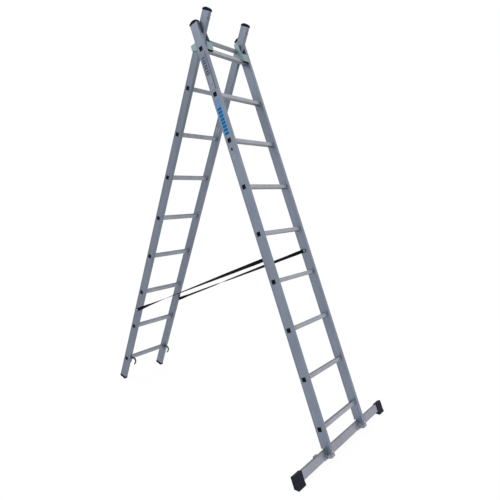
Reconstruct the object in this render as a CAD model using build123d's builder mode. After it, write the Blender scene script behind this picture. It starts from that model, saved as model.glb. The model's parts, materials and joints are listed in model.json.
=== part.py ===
"""Two-section combination ladder, standing as an A-frame.

World axes: +X is the climbing side, +Y the climber's right, +Z up.
The origin is on the floor, midway between the front-most and rear-most feet.
Each section is described by s, the distance up the section from its lowest rung,
and off, the distance forward of the plane through its rung centres.
"""

from build123d import *
import math
import os

os.makedirs("parts", exist_ok=True)

# ---------------------------------------------------------------- sections
RUNG_COUNT = 9
RUNG_PITCH = 280.0
FRONT_LEAN = 23.04  # front section from the vertical, degrees
FRONT_WIDTH = 446.0  # over the stiles
SECTION_GAP = 4.0  # rear section inside the front one, each side
STILE_DEPTH = 25.0  # across the ladder
FRONT_STILE_WIDTH = 57.0  # fore and aft
REAR_STILE_WIDTH = 54.0
STILE_WALL = 1.8
STILE_CORNER = 3.0
BEAD_WIDTH = 7.0  # raised edge of each broad face
BEAD_RELIEF = 0.6
STILE_ABOVE = 156.0  # stile above its top rung
FRONT_STILE_BELOW = 158.0  # front stile below its lowest rung
REAR_BELOW = 170.0  # rear foot below its lowest rung

# ---------------------------------------------------------------- rungs
RUNG_SIZE = 25.0
RUNG_WALL = 1.5
RUNG_CORNER = 4.0
RUNG_FIT = 0.1  # play in the stile's hole, each side
COLLAR_SIZE = 29.0  # swaged end of the rung
COLLAR_THICK = 1.0
TREAD_GROOVES = 4
GROOVE_WIDTH = 1.6
GROOVE_DEPTH = 0.5
GROOVE_PITCH = 4.0

# ---------------------------------------------------------------- end caps and rear feet
CAP_PROUD = 0.8  # cap past the stile's outline
CAP_EDGE = 9.0
CAP_CROWN = 18.0
FOOT_THICK = 13.0
PLUG_LENGTH = 24.0
PLUG_FIT = 0.2

# ---------------------------------------------------------------- top guide bracket
SEAT_ALONG = 76.0  # rear section's top rung above the front section's
SEAT_BEHIND = 13.2
BRACKET_PLATE = 2.0
BRACKET_WALL = 3.0
CHANNEL_ROOM = 20.0  # rear stile's inner face to the inner plate
BRACKET_NOSE = 17.0  # front wall ahead of the front section's top rung
BRACKET_FOOT = 2.0  # front wall's lower edge above the rung's centre
BRACKET_HEIGHT = 42.0
BRACKET_RAKE = 9.0  # front wall leans back over its height
BRACKET_TAIL = 90.0  # outer plate behind the rung
TAIL_HEIGHT = 30.0
TAIL_RAKE = 10.0
TAIL_SHOULDER = 40.0  # flat of the outer plate's sloping upper edge
TAIL_RISE = 5.0
LUG_TOP = 121.0  # inner plate's lug above the front section's top rung
LUG_FRONT = 18.0
LUG_BACK = -6.0
LUG_SHOULDER = (25.0, 47.0)
LUG_CORNER = 6.0
NOSE_CUT = 4.0  # inner plate in front of the rung, above the rung's lower face
SEAT_PLAY = 0.4
PAD_THICK = 5.0
PAD_DROP = 9.0  # pad below the front wall
PAD_SHORT = 6.0  # pad short of the front wall's upper edge
PAD_ROOM = 3.0  # pad short of the outer plate, past the rivet heads
BRACKET_RIVET = 6.0
BRACKET_RIVET_LENGTH = 5.0
BRACKET_RIVET_HEAD = 1.2  # low enough for the rear stile to swing past

# ---------------------------------------------------------------- stabiliser bar
BAR_HALF_LENGTH = 543.5
BAR_HEIGHT = 50.0
BAR_DEPTH = 18.0
BAR_WALL = 1.8
BAR_CORNER = 3.0
BAR_TOP = -110.0  # s of its upper face
BAR_FRONT = -4.0  # off of its front face
BAR_CLEARANCE = 18.5  # its lower front edge above the floor
NOTCH_RISE = 4.0  # stile cut away above the bar
NOTCH_FIT = 0.3  # stile cut away forward of the bar
NOTCH_RADIUS = 6.0
TONGUE_RADIUS = 6.0
BAR_BOLT = 8.0
BAR_BOLT_DROP = 17.0  # bolt below the bar's upper face
BAR_BOLT_HEAD = 13.0
BAR_BOLT_HEAD_THICK = 4.0
BOLT_FIT = 0.1

# ---------------------------------------------------------------- bar bracket and tongue plug
CLAMP_SHEET = 1.6
CLAMP_FIT = 0.2
CLAMP_TOP = -128.0
CLAMP_BOTTOM = -161.0
CLAMP_WINDOW = -140.0  # top of its front wall
CLAMP_RADIUS = 8.0
CLAMP_FLANGE = 31.0  # flange past the stile's face
CLAMP_RIVET = 6.0
CLAMP_RIVET_OUT = 24.0  # flange rivet past the stile's face
CLAMP_RIVET_S = -149.0
CLAMP_SCREW = 5.0
CLAMP_SCREW_OFF = 5.0
CLAMP_SCREW_S = -135.0
CLAMP_SCREW_DEPTH = 8.0
BUTTON_THICK = 2.0
TONGUE_PLUG_TOP = -132.0

# ---------------------------------------------------------------- bar shoes and clip
SHOE_LENGTH = 71.0
SHOE_WALL = 3.0
SHOE_TOE = 3.0  # foot forward of the shoe
SHOE_FIT = 0.2
CLIP_START = 292.0  # clip from the middle of the ladder
CLIP_LENGTH = 32.0
CLIP_HEIGHT = 6.0
CLIP_DEPTH = 9.0
CLIP_LIP = 1.6
CLIP_DROP = 12.0

# ---------------------------------------------------------------- hooks on the rear section
HOOK_THICK = 5.0
HOOK_REACH = 74.5
HOOK_CLAW = 10.0
HOOK_CREST = 28.5  # top of the arm
HOOK_ARM = 14.5
HOOK_BEND = 50.0  # off of the middle of the bend
HOOK_TIP = -24.0
HOOK_CURL = 7.0  # tip back from the claw's outside
HOOK_LEG = (-30.0, 14.0)
HOOK_LEG_BACK = 15.5
HOOK_CORNER = 4.0  # rounding of the tip
HOOK_RIVET = 5.0
HOOK_RIVETS = [(21.0, -22.0), (21.0, 0.0)]

# ---------------------------------------------------------------- spreader straps
STRAP_WIDTH = 22.0
STRAP_THICK = 1.6
STRAP_FRONT = 978.0  # s of its bolt on the front section
STRAP_REAR = 418.0  # s of its bolt on the rear section
STRAP_BOLT = 6.0
STRAP_BOLT_HEAD = 13.0
STRAP_BOLT_HEAD_THICK = 3.5
STRAP_WASHER = 18.0
STRAP_BOLT_REACH = 8.0

# ---------------------------------------------------------------- stop pegs
PEG_SIZE = 10.0
PEG_PROUD = 8.0
PEG_STEM = 6.0
PEG_BELOW_TOP = 36.0

# ================================================================ placing the two sections
SIN_F = math.sin(math.radians(FRONT_LEAN))
COS_F = math.cos(math.radians(FRONT_LEAN))
RUN = (RUNG_COUNT - 1) * RUNG_PITCH
FRONT_HALF = FRONT_WIDTH / 2
FRONT_INNER = FRONT_HALF - STILE_DEPTH
REAR_HALF = FRONT_INNER - SECTION_GAP
REAR_INNER = REAR_HALF - STILE_DEPTH
BAR_BOTTOM = BAR_TOP - BAR_HEIGHT
BAR_BACK = BAR_FRONT - BAR_DEPTH

FRONT_Z = BAR_CLEARANCE - BAR_BOTTOM * COS_F - BAR_FRONT * SIN_F
FRONT_TOP = (-RUN * SIN_F, FRONT_Z + RUN * COS_F)
PIVOT = (
    FRONT_TOP[0] - SEAT_ALONG * SIN_F - SEAT_BEHIND * COS_F,
    FRONT_TOP[1] + SEAT_ALONG * COS_F - SEAT_BEHIND * SIN_F,
)

REAR_REACH = RUN + REAR_BELOW
REAR_EDGE = REAR_STILE_WIDTH / 2
REAR_LEAN = math.atan2(REAR_EDGE, REAR_REACH) + math.acos(PIVOT[1] / math.hypot(REAR_REACH, REAR_EDGE))
SIN_R = math.sin(REAR_LEAN)
COS_R = math.cos(REAR_LEAN)

FRONT_EDGE = FRONT_STILE_WIDTH / 2
CLAMP_EDGE = FRONT_EDGE + CLAMP_FIT + CLAMP_SHEET
CLAMP_ARC = (CLAMP_EDGE - CLAMP_RADIUS, CLAMP_BOTTOM + CLAMP_RADIUS)
FRONT_MOST = CLAMP_ARC[0] * COS_F - CLAMP_ARC[1] * SIN_F + CLAMP_RADIUS
REAR_MOST = PIVOT[0] - REAR_REACH * SIN_R - REAR_EDGE * COS_R
SHIFT = -(FRONT_MOST + REAR_MOST) / 2

FRONT_ORIGIN = (SHIFT, FRONT_Z)
REAR_ORIGIN = (SHIFT + PIVOT[0] - RUN * SIN_R, PIVOT[1] - RUN * COS_R)


def front_xz(off, s):
    """World x and z of a point of the front section."""
    return (FRONT_ORIGIN[0] + off * COS_F - s * SIN_F, FRONT_ORIGIN[1] + off * SIN_F + s * COS_F)


def rear_xz(off, s):
    """World x and z of a point of the rear section."""
    return (REAR_ORIGIN[0] + off * COS_R + s * SIN_R, REAR_ORIGIN[1] - off * SIN_R + s * COS_R)


def front_section(s):
    """Plane across the front section at s: local x is off, local y is world y."""
    x, z = front_xz(0, s)
    return Plane(origin=(x, 0, z), x_dir=(COS_F, 0, SIN_F), z_dir=(-SIN_F, 0, COS_F))


def rear_section(s):
    """Plane across the rear section at s: local x is off, local y is world y."""
    x, z = rear_xz(0, s)
    return Plane(origin=(x, 0, z), x_dir=(COS_R, 0, -SIN_R), z_dir=(SIN_R, 0, COS_R))


def front_side(y):
    """Plane along the front section at y: local x is off, local y is s, facing -Y."""
    x, z = front_xz(0, 0)
    return Plane(origin=(x, y, z), x_dir=(COS_F, 0, SIN_F), z_dir=(0, -1, 0))


def rear_side(y):
    """Plane along the rear section at y: local x is off, local y is s, facing -Y."""
    x, z = rear_xz(0, 0)
    return Plane(origin=(x, y, z), x_dir=(COS_R, 0, -SIN_R), z_dir=(0, -1, 0))


def front_face(off):
    """Plane across the ladder at off on the front section: local x is world y, local y is s."""
    x, z = front_xz(off, 0)
    return Plane(origin=(x, 0, z), x_dir=(0, 1, 0), z_dir=(COS_F, 0, SIN_F))


def rear_face(off):
    """Plane across the ladder at off on the rear section: local x is world y, local y is s."""
    x, z = rear_xz(off, 0)
    return Plane(origin=(x, 0, z), x_dir=(0, 1, 0), z_dir=(COS_R, 0, -SIN_R))


def save(builder, name):
    """Label the finished piece and write its file."""
    builder.part.label = name
    export_step(builder.part, "parts/" + name + ".step")


SIDES = (("left", -1), ("right", 1))
RUNG_STEPS = [(0, i * RUNG_PITCH) for i in range(RUNG_COUNT)]


def stile_section(width, y):
    """Hollow box with a raised bead along each edge of its broad faces."""
    with Locations((0, y)):
        RectangleRounded(width, STILE_DEPTH, STILE_CORNER)
        with Locations((0, STILE_DEPTH / 2), (0, -STILE_DEPTH / 2)):
            Rectangle(width - 2 * BEAD_WIDTH, 2 * BEAD_RELIEF, mode=Mode.SUBTRACT)
        Rectangle(
            width - 2 * STILE_WALL,
            STILE_DEPTH - 2 * BEAD_RELIEF - 2 * STILE_WALL,
            mode=Mode.SUBTRACT,
        )


# ---------------------------------------------------------------- front stiles
NOTCH_FRONT = BAR_FRONT + NOTCH_FIT
NOTCH_TOP = BAR_TOP + NOTCH_RISE
BOLT_S = BAR_TOP - BAR_BOLT_DROP
FRONT_MID = FRONT_HALF - STILE_DEPTH / 2
FRONT_SPAN = RUN + STILE_ABOVE + FRONT_STILE_BELOW
WALL_REACH = 2 * (STILE_WALL + BEAD_RELIEF)
BRACKET_RIVETS = [(FRONT_EDGE - 8, RUN + 28), (8 - FRONT_EDGE, RUN + 24)]

for side, sign in SIDES:
    with BuildPart() as front_stile:
        with BuildSketch(front_section(-FRONT_STILE_BELOW)):
            stile_section(FRONT_STILE_WIDTH, sign * FRONT_MID)
        extrude(amount=FRONT_SPAN)
        with BuildSketch(front_side(sign * FRONT_MID)):
            with Locations(*RUNG_STEPS):
                RectangleRounded(RUNG_SIZE + 2 * RUNG_FIT, RUNG_SIZE + 2 * RUNG_FIT, RUNG_CORNER)
            with Locations((NOTCH_FRONT, NOTCH_TOP)):
                RectangleRounded(
                    2 * FRONT_STILE_WIDTH,
                    FRONT_STILE_WIDTH + FRONT_STILE_BELOW,
                    NOTCH_RADIUS,
                    align=(Align.MAX, Align.MAX),
                )
            with BuildLine():
                Line((FRONT_EDGE, -FRONT_STILE_BELOW), (FRONT_EDGE, TONGUE_RADIUS - FRONT_STILE_BELOW))
                RadiusArc(
                    (FRONT_EDGE, TONGUE_RADIUS - FRONT_STILE_BELOW),
                    (FRONT_EDGE - TONGUE_RADIUS, -FRONT_STILE_BELOW),
                    TONGUE_RADIUS,
                )
                Line((FRONT_EDGE - TONGUE_RADIUS, -FRONT_STILE_BELOW), (FRONT_EDGE, -FRONT_STILE_BELOW))
            make_face()
        extrude(amount=STILE_DEPTH, both=True, mode=Mode.SUBTRACT)
        with BuildSketch(front_face(FRONT_EDGE)):
            with Locations((sign * FRONT_MID, BOLT_S)):
                Circle(BAR_BOLT / 2 + BOLT_FIT)
        extrude(amount=-2 * STILE_WALL, mode=Mode.SUBTRACT)
        with BuildSketch(front_side(sign * FRONT_INNER)):
            with Locations((0, STRAP_FRONT)):
                Circle(STRAP_BOLT / 2 + BOLT_FIT)
            with Locations(*BRACKET_RIVETS):
                Circle(BRACKET_RIVET / 2 + BOLT_FIT)
        extrude(amount=-sign * WALL_REACH, mode=Mode.SUBTRACT)
        with BuildSketch(front_side(sign * FRONT_HALF)):
            with Locations((CLAMP_SCREW_OFF, CLAMP_SCREW_S)):
                Circle(CLAMP_SCREW / 2 + BOLT_FIT)
        extrude(amount=sign * WALL_REACH, mode=Mode.SUBTRACT)
    save(front_stile, "front_stile_" + side)

# ---------------------------------------------------------------- rear stiles
REAR_MID = REAR_HALF - STILE_DEPTH / 2
REAR_SPAN = RUN + STILE_ABOVE + REAR_BELOW - FOOT_THICK
PEG_S = RUN + STILE_ABOVE - PEG_BELOW_TOP

for side, sign in SIDES:
    with BuildPart() as rear_stile:
        with BuildSketch(rear_section(FOOT_THICK - REAR_BELOW)):
            stile_section(REAR_STILE_WIDTH, sign * REAR_MID)
        extrude(amount=REAR_SPAN)
        with BuildSketch(rear_side(sign * REAR_MID)):
            with Locations(*RUNG_STEPS):
                RectangleRounded(RUNG_SIZE + 2 * RUNG_FIT, RUNG_SIZE + 2 * RUNG_FIT, RUNG_CORNER)
        extrude(amount=STILE_DEPTH, both=True, mode=Mode.SUBTRACT)
        with BuildSketch(rear_side(sign * REAR_HALF)):
            with Locations((0, STRAP_REAR)):
                Circle(STRAP_BOLT / 2 + BOLT_FIT)
        extrude(amount=sign * WALL_REACH, mode=Mode.SUBTRACT)
        with BuildSketch(rear_side(sign * REAR_INNER)):
            with Locations(*HOOK_RIVETS):
                Circle(HOOK_RIVET / 2 + BOLT_FIT)
        extrude(amount=-sign * WALL_REACH, mode=Mode.SUBTRACT)
        with BuildSketch(rear_face(REAR_EDGE)):
            with Locations((sign * REAR_MID, PEG_S)):
                Circle(PEG_STEM / 2 + BOLT_FIT)
        extrude(amount=-2 * STILE_WALL, mode=Mode.SUBTRACT)
    save(rear_stile, "rear_stile_" + side)


# ---------------------------------------------------------------- rungs
def rung(side_plane, half_width, step):
    """One rung: a tube through both stiles, grooved on top, with swaged ends."""
    seat = half_width - BEAD_RELIEF
    inner_seat = half_width - STILE_DEPTH + BEAD_RELIEF
    tread = half_width - STILE_DEPTH - GROOVE_PITCH
    centre = step * RUNG_PITCH
    bore = RUNG_SIZE - 2 * RUNG_WALL
    with BuildPart() as piece:
        with BuildSketch(side_plane(seat)):
            with Locations((0, centre)):
                RectangleRounded(RUNG_SIZE, RUNG_SIZE, RUNG_CORNER)
        extrude(amount=2 * seat)
        with BuildSketch(
            side_plane(-seat),
            side_plane(seat + COLLAR_THICK),
            side_plane(inner_seat),
            side_plane(COLLAR_THICK - inner_seat),
        ):
            with Locations((0, centre)):
                RectangleRounded(COLLAR_SIZE, COLLAR_SIZE, RUNG_CORNER)
        extrude(amount=COLLAR_THICK)
        with BuildSketch(side_plane(half_width + STILE_DEPTH)):
            with Locations((0, centre)):
                RectangleRounded(bore, bore, RUNG_CORNER - RUNG_WALL)
        extrude(amount=2 * half_width + 2 * STILE_DEPTH, mode=Mode.SUBTRACT)
        with BuildSketch(side_plane(tread)):
            with Locations((0, centre + RUNG_SIZE / 2)):
                with GridLocations(GROOVE_PITCH, 0, TREAD_GROOVES, 1):
                    Rectangle(GROOVE_WIDTH, 2 * GROOVE_DEPTH)
        extrude(amount=2 * tread, mode=Mode.SUBTRACT)
    return piece


for step in range(RUNG_COUNT):
    front_rung = rung(front_side, FRONT_HALF, step)
    save(front_rung, "front_rung_" + str(step + 1))
    rear_rung = rung(rear_side, REAR_HALF, step)
    save(rear_rung, "rear_rung_" + str(step + 1))

# ---------------------------------------------------------------- end caps and rear feet
STILE_TOP = RUN + STILE_ABOVE
PLUG_DEPTH = STILE_DEPTH - 2 * BEAD_RELIEF - 2 * STILE_WALL - 2 * PLUG_FIT


def top_cap(cross_plane, side_plane, width, y):
    """Domed cap on a stile's upper end, plugged into the tube."""
    half = width / 2 + CAP_PROUD
    edge = STILE_TOP + CAP_EDGE
    with BuildPart() as cap:
        with BuildSketch(side_plane(y)):
            with BuildLine():
                Polyline((half, edge), (half, STILE_TOP), (-half, STILE_TOP), (-half, edge))
                ThreePointArc((-half, edge), (0, STILE_TOP + CAP_CROWN), (half, edge))
            make_face()
        extrude(amount=STILE_DEPTH / 2 + CAP_PROUD, both=True)
        fillet(cap.faces().sort_by(Axis.Z)[-1].edges(), radius=2.5)
        with BuildSketch(cross_plane(STILE_TOP)):
            with Locations((0, y)):
                Rectangle(width - 2 * STILE_WALL - 2 * PLUG_FIT, PLUG_DEPTH)
        extrude(amount=-PLUG_LENGTH)
    return cap


for side, sign in SIDES:
    front_cap = top_cap(front_section, front_side, FRONT_STILE_WIDTH, sign * FRONT_MID)
    save(front_cap, "front_cap_" + side)
    rear_cap = top_cap(rear_section, rear_side, REAR_STILE_WIDTH, sign * REAR_MID)
    save(rear_cap, "rear_cap_" + side)

for side, sign in SIDES:
    with BuildPart() as rear_foot:
        with BuildSketch(rear_section(-REAR_BELOW)):
            with Locations((0, sign * REAR_MID)):
                RectangleRounded(REAR_STILE_WIDTH, STILE_DEPTH, STILE_CORNER)
        extrude(amount=FOOT_THICK)
        with BuildSketch(rear_section(FOOT_THICK - REAR_BELOW)):
            with Locations((0, sign * REAR_MID)):
                Rectangle(REAR_STILE_WIDTH - 2 * STILE_WALL - 2 * PLUG_FIT, PLUG_DEPTH)
        extrude(amount=PLUG_LENGTH)
    save(rear_foot, "rear_foot_" + side)

# ---------------------------------------------------------------- top guide brackets
SEAT_RADIUS = RUNG_SIZE / math.sqrt(2) - RUNG_CORNER * (math.sqrt(2) - 1) + SEAT_PLAY
SEAT = (SHIFT + PIVOT[0], PIVOT[1])
RUNG_EDGE = RUNG_SIZE / 2 + SEAT_PLAY
CHANNEL_WIDTH = SECTION_GAP + STILE_DEPTH + CHANNEL_ROOM + BRACKET_WALL
CHANNEL_INNER = FRONT_INNER - CHANNEL_WIDTH
TOP_X, TOP_Z = front_xz(0, RUN)
NOSE_X = TOP_X + RUNG_SIZE / 2 + BRACKET_NOSE
NOSE_Z = TOP_Z + BRACKET_FOOT
BROW_X = NOSE_X - BRACKET_RAKE
BROW_Z = NOSE_Z + BRACKET_HEIGHT
TAIL_X = TOP_X - RUNG_SIZE / 2 - BRACKET_TAIL
WALL_BACK_X = NOSE_X - BRACKET_WALL
BROW_BACK_X = BROW_X - BRACKET_WALL

for side, sign in SIDES:
    with BuildPart() as top_bracket:
        with BuildSketch(Plane.XZ.offset(-sign * FRONT_INNER)):
            with BuildLine():
                Polyline(
                    (TAIL_X, NOSE_Z + TAIL_HEIGHT),
                    (TAIL_X + TAIL_RAKE, NOSE_Z),
                    (NOSE_X, NOSE_Z),
                    (BROW_X, BROW_Z),
                    (TAIL_X + TAIL_SHOULDER, BROW_Z + TAIL_RISE),
                    close=True,
                )
            make_face()
        extrude(amount=sign * BRACKET_PLATE)
        with BuildSketch(Plane.XZ.offset(-sign * FRONT_INNER)):
            with BuildLine():
                Polyline(
                    (NOSE_X, NOSE_Z),
                    (BROW_X, BROW_Z),
                    (BROW_BACK_X, BROW_Z),
                    (WALL_BACK_X, NOSE_Z),
                    close=True,
                )
            make_face()
        extrude(amount=sign * CHANNEL_WIDTH)
        with BuildSketch(Plane.XZ.offset(-sign * CHANNEL_INNER)):
            with BuildLine():
                Polyline(
                    (NOSE_X, NOSE_Z),
                    (BROW_X, BROW_Z),
                    front_xz(LUG_SHOULDER[0], RUN + LUG_SHOULDER[1]),
                    front_xz(LUG_FRONT, RUN + LUG_TOP),
                    front_xz(LUG_BACK, RUN + LUG_TOP),
                    SEAT,
                    front_xz(-REAR_EDGE, RUN + SEAT_ALONG),
                    front_xz(-REAR_EDGE, RUN + RUNG_EDGE),
                    front_xz(RUNG_EDGE, RUN + RUNG_EDGE),
                    front_xz(RUNG_EDGE, RUN - RUNG_SIZE / 2 + NOSE_CUT),
                    close=True,
                )
            make_face()
            with Locations(SEAT):
                Circle(SEAT_RADIUS, mode=Mode.SUBTRACT)
        extrude(amount=-sign * BRACKET_WALL)
        lug_corners = top_bracket.edges().filter_by(Axis.Y).group_by(Axis.Z)
        fillet(lug_corners[-1] + lug_corners[-2], LUG_CORNER)
        with BuildSketch(front_side(sign * FRONT_INNER)):
            with Locations((0, RUN)):
                Rectangle(COLLAR_SIZE + 2 * SEAT_PLAY, COLLAR_SIZE + 2 * SEAT_PLAY)
            with Locations(*BRACKET_RIVETS):
                Circle(BRACKET_RIVET / 2 + BOLT_FIT)
        extrude(amount=sign * 2 * BRACKET_PLATE, mode=Mode.SUBTRACT)
    save(top_bracket, "top_bracket_" + side)

    with BuildPart() as bracket_pad:
        with BuildSketch(Plane.XZ.offset(-sign * (FRONT_INNER - BRACKET_PLATE - PAD_ROOM))):
            with BuildLine():
                Polyline(
                    (NOSE_X, NOSE_Z - PAD_DROP),
                    (NOSE_X, NOSE_Z),
                    (WALL_BACK_X, NOSE_Z),
                    (BROW_BACK_X, BROW_Z - PAD_SHORT),
                    (BROW_BACK_X - PAD_THICK, BROW_Z - PAD_SHORT),
                    (WALL_BACK_X - PAD_THICK, NOSE_Z - PAD_DROP),
                    close=True,
                )
            make_face()
        extrude(amount=sign * (CHANNEL_WIDTH - BRACKET_PLATE - BRACKET_WALL - PAD_ROOM))
    save(bracket_pad, "bracket_pad_" + side)


def button(side_plane, y, places, radius, outward, thick, reach):
    """Button-headed rivets on a side face: heads stand outward, shanks go in."""
    with BuildPart() as rivets:
        with BuildSketch(side_plane(y)):
            with Locations(*places):
                Circle(2 * radius)
        extrude(amount=outward * thick, taper=20)
        with BuildSketch(side_plane(y)):
            with Locations(*places):
                Circle(radius)
        extrude(amount=-outward * reach)
    return rivets.part


RIVET_FACE = FRONT_INNER - BRACKET_PLATE

with BuildPart() as bracket_rivets:
    for side, sign in SIDES:
        add(
            button(
                front_side,
                sign * RIVET_FACE,
                BRACKET_RIVETS,
                BRACKET_RIVET / 2,
                sign,
                BRACKET_RIVET_HEAD,
                BRACKET_RIVET_LENGTH,
            )
        )
save(bracket_rivets, "bracket_rivets")

# ---------------------------------------------------------------- stabiliser bar
BAR_MID = (BAR_TOP + BAR_BOTTOM) / 2
BAR_AXIS = (BAR_FRONT + BAR_BACK) / 2
CLAMP_HOLES = [
    (sign * (FRONT_MID + out), CLAMP_RIVET_S)
    for side, sign in SIDES
    for out in (-STILE_DEPTH / 2 - CLAMP_RIVET_OUT, STILE_DEPTH / 2 + CLAMP_RIVET_OUT)
]

with BuildPart() as stabiliser_bar:
    with BuildSketch(front_side(BAR_HALF_LENGTH)):
        with Locations((BAR_AXIS, BAR_MID)):
            RectangleRounded(BAR_DEPTH, BAR_HEIGHT, BAR_CORNER)
            RectangleRounded(
                BAR_DEPTH - 2 * BAR_WALL,
                BAR_HEIGHT - 2 * BAR_WALL,
                BAR_CORNER - BAR_WALL,
                mode=Mode.SUBTRACT,
            )
    extrude(amount=2 * BAR_HALF_LENGTH)
    with BuildSketch(front_face(BAR_FRONT)):
        with Locations((-FRONT_MID, BOLT_S), (FRONT_MID, BOLT_S)):
            Circle(BAR_BOLT / 2 + BOLT_FIT)
        with Locations(*CLAMP_HOLES):
            Circle(CLAMP_RIVET / 2 + BOLT_FIT)
    extrude(amount=-2 * BAR_WALL, mode=Mode.SUBTRACT)
save(stabiliser_bar, "stabiliser_bar")

with BuildPart() as bar_bolts:
    with BuildSketch(front_face(FRONT_EDGE)):
        with Locations((-FRONT_MID, BOLT_S), (FRONT_MID, BOLT_S)):
            RegularPolygon(BAR_BOLT_HEAD / 2, 6, major_radius=False)
    extrude(amount=BAR_BOLT_HEAD_THICK)
    with BuildSketch(front_face(FRONT_EDGE)):
        with Locations((-FRONT_MID, BOLT_S), (FRONT_MID, BOLT_S)):
            Circle(BAR_BOLT / 2)
    extrude(amount=-(FRONT_EDGE - BAR_AXIS))
save(bar_bolts, "bar_bolts")

# ---------------------------------------------------------------- bar brackets and tongue plugs
CLAMP_INSIDE = STILE_DEPTH / 2 + CLAMP_FIT
CLAMP_OUTSIDE = CLAMP_INSIDE + CLAMP_SHEET
FLANGE_END = STILE_DEPTH / 2 + CLAMP_FLANGE
FLANGE_FRONT = BAR_FRONT + CLAMP_SHEET

for side, sign in SIDES:
    with BuildPart() as bar_bracket:
        with BuildSketch(front_section(CLAMP_BOTTOM)):
            with Locations((BAR_FRONT, sign * FRONT_MID)):
                Rectangle(CLAMP_SHEET, 2 * FLANGE_END, align=(Align.MIN, Align.CENTER))
                Rectangle(CLAMP_EDGE - BAR_FRONT, 2 * CLAMP_OUTSIDE, align=(Align.MIN, Align.CENTER))
                Rectangle(
                    FRONT_EDGE + CLAMP_FIT - BAR_FRONT,
                    2 * CLAMP_INSIDE,
                    align=(Align.MIN, Align.CENTER),
                    mode=Mode.SUBTRACT,
                )
        extrude(amount=CLAMP_TOP - CLAMP_BOTTOM)
        with BuildSketch(front_side(sign * FRONT_MID)):
            with Locations((CLAMP_EDGE, CLAMP_BOTTOM)):
                RectangleRounded(
                    2 * FRONT_STILE_WIDTH,
                    2 * FRONT_STILE_WIDTH,
                    CLAMP_RADIUS,
                    align=(Align.MAX, Align.MIN),
                )
        extrude(amount=FRONT_MID, both=True, mode=Mode.INTERSECT)
        with BuildSketch(front_section(CLAMP_WINDOW)):
            with Locations((FRONT_EDGE - CLAMP_RADIUS, sign * FRONT_MID)):
                Rectangle(2 * CLAMP_RADIUS, 4 * CLAMP_OUTSIDE, align=(Align.MIN, Align.CENTER))
        extrude(amount=FRONT_STILE_BELOW, mode=Mode.SUBTRACT)
        with BuildSketch(front_face(FLANGE_FRONT)):
            with Locations(*CLAMP_HOLES):
                Circle(CLAMP_RIVET / 2 + BOLT_FIT)
        extrude(amount=-2 * CLAMP_SHEET, mode=Mode.SUBTRACT)
        with BuildSketch(front_side(sign * (FRONT_HALF + CLAMP_FIT + CLAMP_SHEET))):
            with Locations((CLAMP_SCREW_OFF, CLAMP_SCREW_S)):
                Circle(CLAMP_SCREW / 2 + BOLT_FIT)
        extrude(amount=sign * 2 * CLAMP_SHEET, mode=Mode.SUBTRACT)
    save(bar_bracket, "bar_bracket_" + side)

with BuildPart() as bar_bracket_rivets:
    with BuildSketch(front_face(FLANGE_FRONT)):
        with Locations(*CLAMP_HOLES):
            Circle(CLAMP_RIVET)
    extrude(amount=BUTTON_THICK, taper=25)
    with BuildSketch(front_face(FLANGE_FRONT)):
        with Locations(*CLAMP_HOLES):
            Circle(CLAMP_RIVET / 2)
    extrude(amount=-(CLAMP_SHEET + 2 * BAR_WALL))
save(bar_bracket_rivets, "bar_bracket_rivets")

CLAMP_FACE = FRONT_HALF + CLAMP_FIT + CLAMP_SHEET
CLAMP_SCREWS = [(CLAMP_SCREW_OFF, CLAMP_SCREW_S)]

with BuildPart() as bar_bracket_screws:
    for side, sign in SIDES:
        add(
            button(
                front_side,
                sign * CLAMP_FACE,
                CLAMP_SCREWS,
                CLAMP_SCREW / 2,
                -sign,
                BUTTON_THICK,
                CLAMP_SCREW_DEPTH,
            )
        )
save(bar_bracket_screws, "bar_bracket_screws")

TONGUE_PLUG_FRONT = FRONT_EDGE - STILE_WALL - PLUG_FIT
for side, sign in SIDES:
    with BuildPart() as tongue_plug:
        with BuildSketch(front_section(-FRONT_STILE_BELOW)):
            with Locations((NOTCH_FRONT, sign * FRONT_MID)):
                Rectangle(TONGUE_PLUG_FRONT - NOTCH_FRONT, PLUG_DEPTH, align=(Align.MIN, Align.CENTER))
        extrude(amount=TONGUE_PLUG_TOP + FRONT_STILE_BELOW)
        fillet(tongue_plug.edges().filter_by(Axis.Y).sort_by(Axis.X)[-1], TONGUE_RADIUS)
        with BuildSketch(front_side(sign * FRONT_HALF)):
            with Locations((CLAMP_SCREW_OFF, CLAMP_SCREW_S)):
                Circle(CLAMP_SCREW / 2 + BOLT_FIT)
        extrude(amount=sign * (CLAMP_SCREW_DEPTH + STILE_WALL), mode=Mode.SUBTRACT)
    save(tongue_plug, "tongue_plug_" + side)

# ---------------------------------------------------------------- bar shoes and clip
SHOE_FRONT = BAR_FRONT + SHOE_WALL
SHOE_BACK = BAR_BACK - SHOE_WALL
SHOE_END = BAR_HALF_LENGTH + SHOE_FIT + SHOE_WALL


def floor_s(off):
    """s where the line at this off meets the floor."""
    return -(FRONT_ORIGIN[1] + off * SIN_F) / COS_F


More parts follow.
